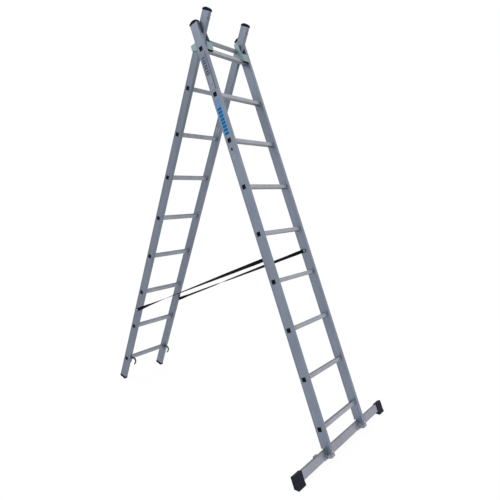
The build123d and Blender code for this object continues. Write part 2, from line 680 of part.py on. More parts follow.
for side, sign in SIDES:
    with BuildPart() as bar_shoe:
        with BuildSketch(front_side(sign * SHOE_END)):
            with BuildLine():
                Polyline(
                    (SHOE_FRONT, BAR_TOP + SHOE_WALL),
                    (SHOE_FRONT, BAR_BOTTOM),
                    (SHOE_FRONT + SHOE_TOE, floor_s(SHOE_FRONT + SHOE_TOE)),
                    (SHOE_BACK, floor_s(SHOE_BACK)),
                    (SHOE_BACK, BAR_TOP + SHOE_WALL),
                    close=True,
                )
            make_face()
        extrude(amount=sign * SHOE_LENGTH)
        upper = bar_shoe.edges().filter_by(Axis.Y).group_by(Axis.Z)
        fillet(upper[-1] + upper[-2], 3)
        with BuildSketch(front_side(sign * (BAR_HALF_LENGTH + SHOE_FIT))):
            with Locations((BAR_AXIS, BAR_MID)):
                RectangleRounded(BAR_DEPTH + 2 * SHOE_FIT, BAR_HEIGHT + 2 * SHOE_FIT, BAR_CORNER)
        extrude(amount=sign * SHOE_LENGTH, mode=Mode.SUBTRACT)
    save(bar_shoe, "bar_shoe_" + side)

with BuildPart() as bar_clip:
    with BuildSketch(front_side(-CLIP_START)):
        with BuildLine():
            Polyline(
                (BAR_BACK - CLIP_LIP, BAR_TOP - CLIP_DROP),
                (BAR_BACK, BAR_TOP - CLIP_DROP),
                (BAR_BACK, BAR_TOP),
                (BAR_BACK + CLIP_DEPTH, BAR_TOP),
                (BAR_BACK + CLIP_DEPTH, BAR_TOP + CLIP_LIP),
                (BAR_BACK + CLIP_DEPTH / 2, BAR_TOP + CLIP_HEIGHT),
                (BAR_BACK - CLIP_LIP, BAR_TOP + CLIP_HEIGHT),
                close=True,
            )
        make_face()
    extrude(amount=CLIP_LENGTH)
save(bar_clip, "bar_clip")

# ---------------------------------------------------------------- rung hooks
for side, sign in SIDES:
    with BuildPart() as hook:
        with BuildSketch(rear_side(sign * REAR_INNER)):
            with BuildLine():
                Polyline(
                    (REAR_EDGE, 0),
                    (REAR_EDGE, HOOK_LEG[0]),
                    (HOOK_LEG_BACK, HOOK_LEG[0]),
                    (HOOK_LEG_BACK, HOOK_LEG[1]),
                )
                ThreePointArc(
                    (HOOK_LEG_BACK, HOOK_LEG[1]),
                    ((HOOK_LEG_BACK + HOOK_BEND) / 2 - 2, HOOK_CREST - 4.5),
                    (HOOK_BEND, HOOK_CREST),
                )
                ThreePointArc(
                    (HOOK_BEND, HOOK_CREST),
                    (HOOK_REACH - HOOK_CURL, HOOK_CREST - HOOK_CURL),
                    (HOOK_REACH, HOOK_CREST - HOOK_REACH + HOOK_BEND),
                )
                ThreePointArc(
                    (HOOK_REACH, HOOK_CREST - HOOK_REACH + HOOK_BEND),
                    (HOOK_REACH - HOOK_CURL / 3, HOOK_TIP / 2),
                    (HOOK_REACH - HOOK_CURL, HOOK_TIP),
                )
                Line(
                    (HOOK_REACH - HOOK_CURL, HOOK_TIP),
                    (HOOK_REACH - HOOK_CURL - HOOK_CLAW, HOOK_TIP),
                )
                ThreePointArc(
                    (HOOK_REACH - HOOK_CURL - HOOK_CLAW, HOOK_TIP),
                    (HOOK_REACH - HOOK_CURL / 3 - HOOK_CLAW, HOOK_TIP / 2),
                    (HOOK_REACH - HOOK_CLAW, 0),
                )
                ThreePointArc(
                    (HOOK_REACH - HOOK_CLAW, 0),
                    (HOOK_REACH - HOOK_CLAW - 4, HOOK_CREST - HOOK_ARM - 4),
                    (HOOK_BEND, HOOK_CREST - HOOK_ARM),
                )
                ThreePointArc(
                    (HOOK_BEND, HOOK_CREST - HOOK_ARM),
                    ((HOOK_BEND + REAR_EDGE) / 2 - 2, HOOK_CREST - HOOK_ARM - 4),
                    (REAR_EDGE, 0),
                )
            make_face()
        extrude(amount=sign * HOOK_THICK)
        ends = hook.edges().filter_by(Axis.Y).group_by(Axis.Z)
        fillet(ends[0] + ends[1], HOOK_CORNER)
        with BuildSketch(rear_side(sign * REAR_INNER)):
            with Locations(*HOOK_RIVETS):
                Circle(HOOK_RIVET / 2 + BOLT_FIT)
        extrude(amount=sign * HOOK_THICK, mode=Mode.SUBTRACT)
    save(hook, "hook_" + side)

HOOK_FACE = REAR_INNER - HOOK_THICK

with BuildPart() as hook_rivets:
    for side, sign in SIDES:
        add(
            button(
                rear_side,
                sign * HOOK_FACE,
                HOOK_RIVETS,
                HOOK_RIVET / 2,
                sign,
                BUTTON_THICK,
                HOOK_THICK + WALL_REACH / 2 + 1,
            )
        )
save(hook_rivets, "hook_rivets")

# ---------------------------------------------------------------- spreader straps
STRAP_MID = (FRONT_INNER + REAR_HALF) / 2
STRAP_INNER = STRAP_MID - STRAP_THICK / 2
STRAP_OUTER = STRAP_MID + STRAP_THICK / 2
STRAP_WASHER_THICK = STRAP_INNER - REAR_HALF
STRAP_START = rear_xz(0, STRAP_REAR)
STRAP_END = front_xz(0, STRAP_FRONT)
STRAP_SPAN = math.dist(STRAP_START, STRAP_END)
STRAP_MIDDLE = ((STRAP_START[0] + STRAP_END[0]) / 2, (STRAP_START[1] + STRAP_END[1]) / 2)
STRAP_SLOPE = math.degrees(math.atan2(STRAP_END[1] - STRAP_START[1], STRAP_END[0] - STRAP_START[0]))

for side, sign in SIDES:
    with BuildPart() as strap:
        with BuildSketch(Plane.XZ.offset(-sign * STRAP_MID)):
            with Locations(STRAP_MIDDLE):
                SlotCenterToCenter(STRAP_SPAN, STRAP_WIDTH, rotation=STRAP_SLOPE)
            with Locations(STRAP_START, STRAP_END):
                Circle(STRAP_BOLT / 2 + BOLT_FIT, mode=Mode.SUBTRACT)
        extrude(amount=STRAP_THICK / 2, both=True)
    save(strap, "strap_" + side)


def strap_fixings(side_plane, place, head_face, outward):
    """Bolts of one end of the straps, the shank going into the stile."""
    with BuildPart() as bolts:
        for side, sign in SIDES:
            with BuildSketch(side_plane(sign * head_face)):
                with Locations((0, place)):
                    Circle(STRAP_BOLT_HEAD / 2)
            extrude(amount=-sign * outward * STRAP_BOLT_HEAD_THICK, taper=12)
            with BuildSketch(side_plane(sign * head_face)):
                with Locations((0, place)):
                    Circle(STRAP_BOLT / 2)
            extrude(amount=sign * outward * STRAP_BOLT_REACH)
    return bolts.part


def strap_washers(side_plane, place, face, outward):
    """Washers between the straps and the stiles."""
    with BuildPart() as washers:
        for side, sign in SIDES:
            with BuildSketch(side_plane(sign * face)):
                with Locations((0, place)):
                    Circle(STRAP_WASHER / 2)
                    Circle(STRAP_BOLT / 2 + BOLT_FIT, mode=Mode.SUBTRACT)
            extrude(amount=-sign * outward * STRAP_WASHER_THICK)
    return washers.part


with BuildPart() as strap_bolts_front:
    add(strap_fixings(front_side, STRAP_FRONT, STRAP_INNER, -1))
save(strap_bolts_front, "strap_bolts_front")

with BuildPart() as strap_bolts_rear:
    add(strap_fixings(rear_side, STRAP_REAR, STRAP_OUTER, 1))
save(strap_bolts_rear, "strap_bolts_rear")

with BuildPart() as strap_washers_front:
    add(strap_washers(front_side, STRAP_FRONT, FRONT_INNER, -1))
save(strap_washers_front, "strap_washers_front")

with BuildPart() as strap_washers_rear:
    add(strap_washers(rear_side, STRAP_REAR, REAR_HALF, 1))
save(strap_washers_rear, "strap_washers_rear")

# ---------------------------------------------------------------- stop pegs
with BuildPart() as stop_pegs:
    with BuildSketch(rear_face(REAR_EDGE)):
        with Locations((-REAR_MID, PEG_S), (REAR_MID, PEG_S)):
            Circle(PEG_SIZE / 2)
    extrude(amount=PEG_PROUD)
    with BuildSketch(rear_face(REAR_EDGE)):
        with Locations((-REAR_MID, PEG_S), (REAR_MID, PEG_S)):
            Circle(PEG_STEM / 2)
    extrude(amount=-2 * STILE_WALL)
save(stop_pegs, "stop_pegs")
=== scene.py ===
"""Looks of the combination ladder: finishes, moulded parts, straps, stickers and studio."""

from __future__ import annotations

import json
import logging
import math
from dataclasses import dataclass, field
from enum import Enum

import bmesh
import bpy
from mathutils import Matrix, Vector


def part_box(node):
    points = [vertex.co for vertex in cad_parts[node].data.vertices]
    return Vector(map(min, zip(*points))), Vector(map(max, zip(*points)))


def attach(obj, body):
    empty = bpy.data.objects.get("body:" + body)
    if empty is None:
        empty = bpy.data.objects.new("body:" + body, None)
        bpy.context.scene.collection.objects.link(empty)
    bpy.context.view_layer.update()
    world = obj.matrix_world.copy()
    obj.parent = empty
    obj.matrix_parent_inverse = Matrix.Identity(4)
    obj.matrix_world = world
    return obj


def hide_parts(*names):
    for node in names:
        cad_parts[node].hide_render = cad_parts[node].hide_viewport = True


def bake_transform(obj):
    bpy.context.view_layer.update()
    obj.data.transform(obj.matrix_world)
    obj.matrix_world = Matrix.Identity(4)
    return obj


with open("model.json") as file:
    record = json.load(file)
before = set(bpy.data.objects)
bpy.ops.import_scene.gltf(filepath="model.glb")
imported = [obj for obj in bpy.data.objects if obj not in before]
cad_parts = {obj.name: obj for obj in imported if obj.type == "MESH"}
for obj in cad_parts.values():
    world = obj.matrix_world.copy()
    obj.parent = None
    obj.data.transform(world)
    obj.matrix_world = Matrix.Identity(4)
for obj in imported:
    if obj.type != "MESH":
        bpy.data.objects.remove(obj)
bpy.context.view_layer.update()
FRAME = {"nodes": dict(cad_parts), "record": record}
LOG = logging.getLogger("ladder")
NODES_OF_BODY: dict[str, list[str]] = FRAME["record"]["behaviour"]["bodies"]
FRONT = "front_section"
REAR = "rear_section"
RUNGS = 9  # on each section
STRAIGHT = 0.9  # least share of a direction that counts as lying along an axis
LEVEL = 1e-6  # heights closer than this are the same, in metres
STILE_RELIEF = 0.0006  # how far a stile's edge beads stand out of its face, in metres
Colour = tuple[float, float, float]
Turns = tuple[tuple[float, float], ...]


class Slot(Enum):
    """The record's material slots."""

    STILE = "stile_aluminium"
    RUNG = "rung_aluminium"
    BAR = "bar_aluminium"
    BRACKET = "bracket_plate"
    ZINC = "zinc_hardware"
    DARK = "dark_hardware"
    RUBBER = "black_rubber"
    PLASTIC = "grey_plastic"
    WEBBING = "webbing"


class Side(Enum):
    """The two sides of the ladder, with the sign of Y on each."""

    LEFT = -1
    RIGHT = 1

    @property
    def word(self) -> str:
        """The side's word in node names."""
        return self.name.lower()


# ---------------------------------------------------------------- node helpers
def new_material(name: str) -> tuple[bpy.types.Material, bpy.types.ShaderNodeTree, bpy.types.Node]:
    """Makes a node material.

    Args:
        name: the material's name.

    Returns:
        The material, its node tree and its Principled shader.
    """
    material = bpy.data.materials.new(name)
    material.use_nodes = True
    tree = material.node_tree
    shader = tree.nodes["Principled BSDF"]
    return material, tree, shader


def add_node(tree: bpy.types.ShaderNodeTree, kind: str, **values: object) -> bpy.types.Node:
    """Adds a shader node and sets its sockets or properties.

    Args:
        tree: the node tree.
        kind: the node's type name.
        **values: property names, or socket names with _ for a space.

    Returns:
        The node.
    """
    node = tree.nodes.new(kind)
    for key, value in values.items():
        if hasattr(node, key):
            setattr(node, key, value)
        else:
            node.inputs[key.replace("_", " ")].default_value = value
    return node


def along(tree: bpy.types.ShaderNodeTree, lean: float, stretch: Colour) -> bpy.types.NodeSocket:
    """Object coordinates turned so that Z runs along a leaning section, then stretched.

    Args:
        tree: the node tree.
        lean: the section's lean about Y, in radians.
        stretch: the scale along each turned axis.

    Returns:
        The vector socket.
    """
    coordinates = add_node(tree, "ShaderNodeTexCoord")
    turn = add_node(tree, "ShaderNodeMapping", vector_type="POINT")
    turn.inputs["Rotation"].default_value = (0.0, lean, 0.0)
    pull = add_node(tree, "ShaderNodeMapping", vector_type="POINT")
    pull.inputs["Scale"].default_value = stretch
    tree.links.new(coordinates.outputs["Object"], turn.inputs["Vector"])
    tree.links.new(turn.outputs["Vector"], pull.inputs["Vector"])
    return pull.outputs["Vector"]


def noise(
    tree: bpy.types.ShaderNodeTree, vector: bpy.types.NodeSocket, detail: float
) -> bpy.types.NodeSocket:
    """Adds a noise of unit scale on a vector.

    Args:
        tree: the node tree.
        vector: the vector socket.
        detail: the noise's octaves.

    Returns:
        The noise's factor socket.
    """
    node = add_node(tree, "ShaderNodeTexNoise", Scale=1.0, Detail=detail, Roughness=0.6)
    tree.links.new(vector, node.inputs["Vector"])
    return node.outputs["Fac"]


def remap(
    tree: bpy.types.ShaderNodeTree,
    value: bpy.types.NodeSocket,
    low: float,
    high: float,
    start: float = 0.3,
    end: float = 0.7,
) -> bpy.types.NodeSocket:
    """Maps a socket's start to end onto low to high.

    Args:
        tree: the node tree.
        value: the socket.
        low: the result at start.
        high: the result at end.
        start: the value that gives low.
        end: the value that gives high.

    Returns:
        The mapped socket.
    """
    node = add_node(tree, "ShaderNodeMapRange")
    node.inputs["From Min"].default_value = start
    node.inputs["From Max"].default_value = end
    node.inputs["To Min"].default_value = low
    node.inputs["To Max"].default_value = high
    tree.links.new(value, node.inputs["Value"])
    return node.outputs["Result"]


def blend_colours(
    tree: bpy.types.ShaderNodeTree,
    factor: bpy.types.NodeSocket,
    first: Colour | bpy.types.NodeSocket,
    second: Colour | bpy.types.NodeSocket,
) -> bpy.types.NodeSocket:
    """Mixes two colours by a factor socket.

    Args:
        tree: the node tree.
        factor: 0 gives first, 1 gives second.
        first: a colour or a socket.
        second: a colour or a socket.

    Returns:
        The mixed colour's socket.
    """
    node = add_node(tree, "ShaderNodeMix", data_type="RGBA")
    tree.links.new(factor, node.inputs["Factor"])
    for name, colour in (("A", first), ("B", second)):
        socket = next(s for s in node.inputs if s.name == name and s.type == "RGBA")
        if isinstance(colour, bpy.types.NodeSocket):
            tree.links.new(colour, socket)
        else:
            socket.default_value = (*colour, 1.0)
    return next(s for s in node.outputs if s.type == "RGBA")


def bump(
    tree: bpy.types.ShaderNodeTree,
    shader: bpy.types.Node,
    height: bpy.types.NodeSocket,
    distance: float,
    strength: float,
) -> None:
    """Feeds a height socket to the shader's normal as a bump.

    Args:
        tree: the node tree.
        shader: the Principled shader.
        height: the height, 0 to 1.
        distance: the height of 1, in metres.
        strength: the bump's strength.
    """
    node = add_node(tree, "ShaderNodeBump", Strength=strength, Distance=distance)
    tree.links.new(height, node.inputs["Height"])
    tree.links.new(node.outputs["Normal"], shader.inputs["Normal"])


# ---------------------------------------------------------------- finishes
@dataclass(frozen=True)
class ExtrudedAluminium:
    """Mill-finish aluminium with die lines along the extrusion and a cloudy handled bloom.

    The ledge-shade strength sets how much painted shade darkens the tops and undersides. They
    lie half a rung's height, less the depth of a tread's grooves, from the rungs' middles, which
    lie a pitch apart up the section.
    """

    name: str
    tone: Colour
    lean: float
    across: bool = False
    metallic: float = 0.8
    roughness: float = 0.4
    spread: float = 0.08
    # strength of the painted shade on tops and undersides
    ledge: float = 0.0
    middle: float = 0.0
    pitch: float = 1.0
    half: float = 0.0
    groove: float = 0.0012
    fade: float = 0.0004
    # colour of the painted shade on tops and undersides
    dirt: Colour = (0.02, 0.02, 0.025)
    fine: float = 900.0
    drawn: float = 7.0
    bloom_scale: Colour = (9.0, 9.0, 3.5)
    rub_scale: Colour = (60.0, 60.0, 22.0)
    dulled: float = 0.86
    brightened: float = 1.12

    def build(self) -> bpy.types.Material:
        """Builds the finish.

        Returns:
            The material.
        """
        material, tree, shader = new_material(self.name)
        along_bar = (self.fine, self.drawn, self.fine)
        along_stile = (self.fine, self.fine, self.drawn)
        lines = along_bar if self.across else along_stile
        streaks = noise(tree, along(tree, self.lean, lines), 3.0)
        bloom = noise(tree, along(tree, self.lean, self.bloom_scale), 4.0)
        rubs = noise(tree, along(tree, self.lean, self.rub_scale), 5.0)
        dull = tuple(c * self.dulled for c in self.tone)
        bright = tuple(min(1.0, c * self.brightened) for c in self.tone)
        clouded = blend_colours(tree, remap(tree, bloom, 0.0, 1.0), dull, bright)
        lined = blend_colours(tree, remap(tree, streaks, 0.0, 0.35), clouded, bright)
        # painted shade: tops and undersides are darkened in the base colour
        if self.ledge:
            lined = self.shade_ledges(tree, lined)
        tree.links.new(lined, shader.inputs["Base Color"])
        shader.inputs["Metallic"].default_value = self.metallic
        gloss = remap(tree, rubs, self.roughness - self.spread, self.roughness + self.spread)
        tree.links.new(gloss, shader.inputs["Roughness"])
        bump(tree, shader, streaks, 0.00004, 0.35)
        return material

    def shade_ledges(
        self, tree: bpy.types.ShaderNodeTree, colour: bpy.types.NodeSocket
    ) -> bpy.types.NodeSocket:
        """Darkens the tops and undersides of rungs or a bar with painted shade.

        They are the parts furthest up or down from the nearest rung's middle.

        Args:
            tree: the node tree.
            colour: the unshaded colour's socket.

        Returns:
            The shaded colour's socket.
        """
        coordinates = add_node(tree, "ShaderNodeTexCoord")
        turn = add_node(tree, "ShaderNodeMapping", vector_type="POINT")
        turn.inputs["Rotation"].default_value = (0.0, self.lean, 0.0)
        turn.inputs["Location"].default_value = (0.0, 0.0, -self.middle)
        parts = add_node(tree, "ShaderNodeSeparateXYZ")
        away = add_node(tree, "ShaderNodeMath", operation="PINGPONG")
        away.inputs[1].default_value = self.pitch / 2
        tree.links.new(coordinates.outputs["Object"], turn.inputs["Vector"])
        tree.links.new(turn.outputs["Vector"], parts.inputs["Vector"])
        tree.links.new(parts.outputs["Z"], away.inputs[0])
        unshaded_reach = self.half - self.groove
        shade = remap(tree, away.outputs["Value"], 0.0, self.ledge, unshaded_reach, unshaded_reach + self.fade)
        return blend_colours(tree, shade, colour, self.dirt)


@dataclass(frozen=True)
class PlatedMetal:
    """Small plated or coated metal parts, evenly finished with faint mottling."""

    name: str
    tone: Colour
    metallic: float
    roughness: float
    grain: float = 260.0
    dulled: float = 0.85
    brightened: float = 1.1
    smoother: float = 0.05
    rougher: float = 0.07

    def build(self) -> bpy.types.Material:
        """Builds the finish.

        Returns:
            The material.
        """
        material, tree, shader = new_material(self.name)
        mottle = noise(tree, along(tree, 0.0, (self.grain,) * 3), 3.0)
        dull = tuple(c * self.dulled for c in self.tone)
        bright = tuple(min(1.0, c * self.brightened) for c in self.tone)
        mottled = blend_colours(tree, remap(tree, mottle, 0.0, 1.0), dull, bright)
        tree.links.new(mottled, shader.inputs["Base Color"])
        shader.inputs["Metallic"].default_value = self.metallic
        gloss = remap(tree, mottle, self.roughness - self.smoother, self.roughness + self.rougher)
        tree.links.new(gloss, shader.inputs["Roughness"])
        bump(tree, shader, mottle, 0.00005, 0.25)
        return material


@dataclass(frozen=True)
class MouldedPolymer:
    """Moulded plastic or rubber with a fine spark-eroded grain and pale scuffs."""

    name: str
    tone: Colour
    scuffed: Colour
    roughness: float = 0.55
    grain: float = 1400.0
    scuffing: float = 48.0
    shine: float = 0.08
    smoother: float = 0.08
    rougher: float = 0.12

    def build(self) -> bpy.types.Material:
        """Builds the finish.

        Returns:
            The material.
        """
        material, tree, shader = new_material(self.name)
        grain = noise(tree, along(tree, 0.0, (self.grain,) * 3), 2.0)
        scuffs = noise(tree, along(tree, 0.0, (self.scuffing,) * 3), 6.0)
        share = remap(tree, scuffs, 0.0, 0.7, 0.55, 0.8)
        worn = blend_colours(tree, share, self.tone, self.scuffed)
        tree.links.new(worn, shader.inputs["Base Color"])
        shader.inputs["Specular IOR Level"].default_value = self.shine
        gloss = remap(tree, scuffs, self.roughness - self.smoother, self.roughness + self.rougher)
        tree.links.new(gloss, shader.inputs["Roughness"])
        bump(tree, shader, grain, 0.0001, 0.3)
        return material


@dataclass(frozen=True)
class WovenWebbing:
    """Black polyester webbing: a herringbone of ribs that follows the strap's own map."""

    name: str
    tone: Colour
    thread: Colour
    ribs: float = 900.0 / 20.0
    picks: float = 900.0 / 14.0
    roughness: float = 0.85
    shine: float = 0.1
    sheen: float = 0.04

    def build(self) -> bpy.types.Material:
        """Builds the finish.

        Returns:
            The material.
        """
        material, tree, shader = new_material(self.name)
        map_node = add_node(tree, "ShaderNodeUVMap", uv_map="strap")
        weave = add_node(tree, "ShaderNodeTexWave", wave_type="BANDS", bands_direction="X")
        weave.inputs["Scale"].default_value = self.ribs
        weave.inputs["Distortion"].default_value = 0.6
        cross = add_node(tree, "ShaderNodeTexWave", wave_type="BANDS", bands_direction="Y")
        cross.inputs["Scale"].default_value = self.picks
        cross.inputs["Distortion"].default_value = 0.4
        both = add_node(tree, "ShaderNodeMath", operation="MULTIPLY")
        for node in (weave, cross):
            tree.links.new(map_node.outputs["UV"], node.inputs["Vector"])
        tree.links.new(weave.outputs["Fac"], both.inputs[0])
        tree.links.new(cross.outputs["Fac"], both.inputs[1])
        woven = blend_colours(tree, both.outputs["Value"], self.tone, self.thread)
        tree.links.new(woven, shader.inputs["Base Color"])
        shader.inputs["Roughness"].default_value = self.roughness
        shader.inputs["Specular IOR Level"].default_value = self.shine
        shader.inputs["Sheen Weight"].default_value = self.sheen
        bump(tree, shader, both.outputs["Value"], 0.0003, 0.6)
        return material


@dataclass(frozen=True)
class PrintedFilm:
    """One flat colour of a sticker's satin film."""

    name: str
    tone: Colour
    roughness: float = 0.42
    shine: float = 0.15
    wear_scale: float = 150.0
    fading: float = 0.9
    chalk: float = 0.02

    def build(self) -> bpy.types.Material:
        """Builds the finish.

        Returns:
            The material.
        """
        material, tree, shader = new_material(self.name)
        wear = noise(tree, along(tree, 0.0, (self.wear_scale,) * 3), 4.0)
        faded = tuple(self.fading * c + self.chalk for c in self.tone)
        share = remap(tree, wear, 0.0, 0.5, 0.45, 0.75)
        tree.links.new(blend_colours(tree, share, self.tone, faded), shader.inputs["Base Color"])
        shader.inputs["Roughness"].default_value = self.roughness
        shader.inputs["Specular IOR Level"].default_value = self.shine
        return material


# ---------------------------------------------------------------- where things are
@dataclass(frozen=True)
class SectionFrame:
    """A leaning section's own axes: up its stiles, forward out of its rungs, and across."""

    body: str
    foot: Vector
    head: Vector

    @classmethod
    def from_nodes(cls, prefix: str, body: str) -> "SectionFrame":
        """Reads the section's place from its lowest and highest rungs.

        Args:
            prefix: the section's word in node names.
            body: the body that the section's pieces ride on.

        Returns:
            The section's frame.
        """
        boxes = (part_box(f"{prefix}_rung_{number}") for number in (1, RUNGS))
        foot, head = (sum((Vector(c) for c in box), Vector()) / 2 for box in boxes)
        return cls(body, foot, head)

    @property
    def up(self) -> Vector:
        """Unit vector up the stiles."""
        return (self.head - self.foot).normalized()

    @property
    def forward(self) -> Vector:
        """Unit vector forward out of the rungs."""
        return Vector((self.up.z, 0.0, -self.up.x))

    @property
    def lean(self) -> float:
        """Angle about Y that turns world Z onto the stiles."""
        return math.atan2(self.up.x, self.up.z)

    def at(self, off: float, y: float, s: float) -> Vector:
        """World place of a point given forward, across and up, in metres."""
        return self.foot + self.forward * off + Vector((0.0, y, 0.0)) + self.up * s

    def to_local(self, place: Vector) -> tuple[float, float]:
        """How far a world place lies forward and up from the lowest rung, in metres."""
        return (place - self.foot).dot(self.forward), (place - self.foot).dot(self.up)

    def matrix(self, off: float, y: float, s: float) -> Matrix:
        """Matrix whose X, Y and Z are the section's forward, across and up axes at a point."""
        axes = Matrix((self.forward, Vector((0, 1, 0)), self.up)).transposed().to_4x4()
        return Matrix.Translation(self.at(off, y, s)) @ axes


# ---------------------------------------------------------------- mesh helpers
def finish_mesh(
    name: str, shape: bmesh.types.BMesh, materials: list[bpy.types.Material]
) -> bpy.types.Object:
    """Turns a bmesh that is in place into an object.

    Args:
        name: the piece's name.
        shape: the bmesh, which is freed.
        materials: the piece's materials.

    Returns:
        The object, linked and at the origin.
    """
    bmesh.ops.recalc_face_normals(shape, faces=shape.faces)
    mesh = bpy.data.meshes.new(name)
    shape.to_mesh(mesh)
    shape.free()
    for material in materials:
        mesh.materials.append(material)
    piece = bpy.data.objects.new(name, mesh)
    bpy.context.scene.collection.objects.link(piece)
    return piece


def soften(piece: bpy.types.Object, angle: float = 35.0) -> None:
    """Shades a piece smooth, with its steep edges kept sharp.

    Args:
        piece: the piece.
        angle: the angle from which an edge stays sharp, in degrees.
    """
    for polygon in piece.data.polygons:
        polygon.use_smooth = True
    piece.data.set_sharp_from_angle(angle=math.radians(angle))


def block(
    shape: bmesh.types.BMesh, size: tuple[float, float, float], centre: Vector
) -> list[bmesh.types.BMVert]:
    """Adds a box to a bmesh.

    Args:
        shape: the bmesh.
        size: the box's X, Y and Z.
        centre: its middle.

    Returns:
        The box's vertices.
    """
    made = bmesh.ops.create_cube(shape, size=1.0)["verts"]
    bmesh.ops.scale(shape, vec=size, verts=made)
    bmesh.ops.translate(shape, vec=centre, verts=made)
    return made


def round_edges(
    shape: bmesh.types.BMesh, edges: list[bmesh.types.BMEdge], radius: float, segments: int
) -> list[bmesh.types.BMFace]:
    """Bevels edges of a bmesh round.

    Args:
        shape: the bmesh.
        edges: the edges.
        radius: the rounding's reach along each face.
        segments: the faces round each edge.

    Returns:
        The faces made.
    """
    made = bmesh.ops.bevel(
        shape,
        geom=edges,
        offset=radius,
        offset_type="OFFSET",
        segments=segments,
        profile=0.5,
        affect="EDGES",
        clamp_overlap=True,
        material=-1,
    )
    return made["faces"]


def is_across(edge: bmesh.types.BMEdge) -> bool:
    """Whether an edge runs along Y, through a piece that lies on a stile's face."""
    run = edge.verts[1].co - edge.verts[0].co
    return abs(run.y) > STRAIGHT * run.length


def dress(node: str, material: bpy.types.Material) -> None:
    """Gives a fixed part its material.

    Args:
        node: the part's node.
        material: its finish.
    """
    piece = FRAME["nodes"][node]
    piece.data.materials.clear()
    piece.data.materials.append(material)
    LOG.info("dressed %s", node)


def body_of(node: str) -> str:
    """The body that a node belongs to."""
    return next(body for body, nodes in NODES_OF_BODY.items() if node in nodes)


# ---------------------------------------------------------------- the ladder's sub-assemblies
@dataclass
class Section:
    """The stiles and rungs of one section."""

    prefix: str
    frame: SectionFrame
    stile_tone: Colour
    rung_tone: Colour
    # strength of the painted shade on the rungs' tops and undersides
    rung_shade: float
    rung_half: float = 0.0125
    rung_roughness: float = 0.58

    def build(self) -> None:
        """Dresses the stiles and rungs."""
        lean = -self.frame.lean
        stile = ExtrudedAluminium(f"{self.prefix} stile extrusion", self.stile_tone, lean).build()
        rung = ExtrudedAluminium(
            f"{self.prefix} rung extrusion",
            self.rung_tone,
            lean,
            across=True,
            roughness=self.rung_roughness,
            ledge=self.rung_shade,
            middle=self.frame.foot.dot(self.frame.up),
            pitch=(self.frame.head - self.frame.foot).length / (RUNGS - 1),
            half=self.rung_half,
        ).build()
        for side in Side:
            dress(f"{self.prefix}_stile_{side.word}", stile)
        for number in range(1, RUNGS + 1):
            dress(f"{self.prefix}_rung_{number}", rung)


@dataclass
class RoundedPart:
    """A fixed part remade with its hard edges rounded."""

    node: str
    radius: float
    material: bpy.types.Material
    slot: Slot
    segments: int = 3
    weld: float = 0.00002
    flat_angle: float = 1.0
    edge_angle: float = 35.0
    shade_angle: float = 50.0

    def build(self) -> bpy.types.Object:
        """Copies the node's mesh, joins it up and rounds its edges.

        Returns:
            The rounded piece, which stands for the node.
        """
        source = FRAME["nodes"][self.node]
        shape = bmesh.new()
        shape.from_mesh(source.data)
        bmesh.ops.remove_doubles(shape, verts=shape.verts, dist=self.weld)
        flat = math.radians(self.flat_angle)
        bmesh.ops.dissolve_limit(
            shape, angle_limit=flat, verts=shape.verts[:], edges=shape.edges[:]
        )
        piece = finish_mesh(f"{self.node}_rounded", shape, [self.material])
        edge = piece.modifiers.new("rounding", "BEVEL")
        edge.width = self.radius
        edge.segments = self.segments
        edge.limit_method = "ANGLE"
        edge.angle_limit = math.radians(self.edge_angle)
        edge.use_clamp_overlap = True
        edge.harden_normals = False
        soften(piece, self.shade_angle)
        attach(piece, body_of(self.node))
        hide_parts(self.node)
        LOG.info("rounded %s", self.node)
        return piece


@dataclass
class RungPlugs:
    """Black square plugs pressed into the open ends of a section's rungs on one side."""

    prefix: str
    side: Side
    frame: SectionFrame
    material: bpy.types.Material
    size: float = 0.025
    stem: float = 0.0195
    head: float = 0.0008
    reach: float = 0.01
    corner: float = 0.0025
    rim: float = 0.0035
    recess: float = 0.0005

    def build(self) -> bpy.types.Object:
        """Builds the side's plugs as one piece.

        Returns:
            The plugs' object.
        """
        shape = bmesh.new()
        for number in range(1, RUNGS + 1):
            low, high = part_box(f"{self.prefix}_rung_{number}")
            end = high.y if self.side is Side.RIGHT else low.y
            place = self.frame.to_local((low + high) / 2)
            self.plug(shape, self.frame.matrix(place[0], end, place[1]))
        piece = finish_mesh(f"{self.prefix}_rung_plugs_{self.side.word}", shape, [self.material])
        soften(piece)
        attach(piece, self.frame.body)
        LOG.info("built %s", piece.name)
        return piece

    def plug(self, shape: bmesh.types.BMesh, place: Matrix) -> None:
        """Adds one plug whose head lies on the rung's end.

        Args:
            shape: the side's bmesh.
            place: the frame at the rung's end, with Y across the ladder.
        """
        outward = float(self.side.value)
        size = (self.size, self.head, self.size)
        made = block(shape, size, Vector((0, outward * self.head / 2, 0)))
        faces = {f for v in made for f in v.link_faces}
        corners = {e for v in made for e in v.link_edges if is_across(e)}
        grown = round_edges(shape, list(corners), self.corner, 4)
        solid = {f for f in faces | set(grown) if f.is_valid}
        solid |= {f for face in list(solid) for v in face.verts for f in v.link_faces}
        step = (self.size - self.stem) / 2
        ends = ((outward, self.rim, -self.recess), (-outward, step, self.reach))
        for wanted, inset, depth in ends:
            face = max(solid, key=lambda f: f.calc_center_median().y * wanted)
            solid |= set(bmesh.ops.inset_region(shape, faces=[face], thickness=inset)["faces"])
            moved = bmesh.ops.extrude_discrete_faces(shape, faces=[face])["faces"]
            corners_moved = {v for f in moved for v in f.verts}
            bmesh.ops.translate(shape, vec=(0, wanted * depth, 0), verts=list(corners_moved))
            solid |= {f for v in corners_moved for f in v.link_faces}
            solid = {f for f in solid if f.is_valid}
        verts = {v for f in solid for v in f.verts}
        bmesh.ops.transform(shape, matrix=place, verts=list(verts))


